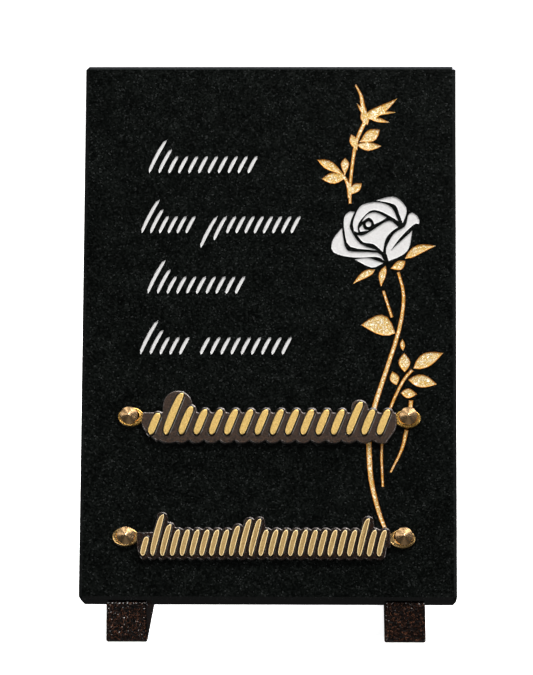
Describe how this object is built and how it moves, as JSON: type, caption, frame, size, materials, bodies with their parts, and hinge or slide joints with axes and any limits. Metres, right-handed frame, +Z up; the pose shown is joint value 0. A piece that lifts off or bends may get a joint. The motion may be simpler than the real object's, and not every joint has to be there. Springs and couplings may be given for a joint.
{
  "type": "granite memorial plaque",
  "caption": "Polished black granite memorial plaque leaning back on cast feet, with an engraved rose, rows of engraved strokes and cast bronze bars held by cone-headed screws.",
  "frame": {"origin": "centre of the bounding box at the underside of the feet", "axes": "+Z up, +Y towards the back of the plaque, +X to the viewer's right of its face"},
  "size_m": [0.2, 0.1304, 0.293],
  "materials": {
    "black_granite": "polished near-black granite with fine grey speckle",
    "white_paint": "matt white paint in the engraved petals and strokes, over a sandblasted floor",
    "gold_leaf": "gold paint over a hammered, sandblasted floor in the leaves and stems",
    "upper_bar_bronze": "brown patinated cast bronze with polished gold raised strokes and eyelets",
    "lower_bar_bronze": "dark glossy patinated cast bronze with polished raised strokes and eyelets",
    "polished_brass": "turned and polished brass",
    "hammered_paint": "dark brown hammered paint with small bronze glints"
  },
  "bodies": {
    "root": {"granite_slab": "black_granite", "upper_name_bar": "upper_bar_bronze", "lower_name_bar": "lower_bar_bronze", "upper_screw_left": "polished_brass", "upper_screw_right": "polished_brass", "lower_screw_left": "polished_brass", "lower_screw_right": "polished_brass", "foot_left": "hammered_paint", "foot_right": "hammered_paint"}
  },
  "joints": []
}
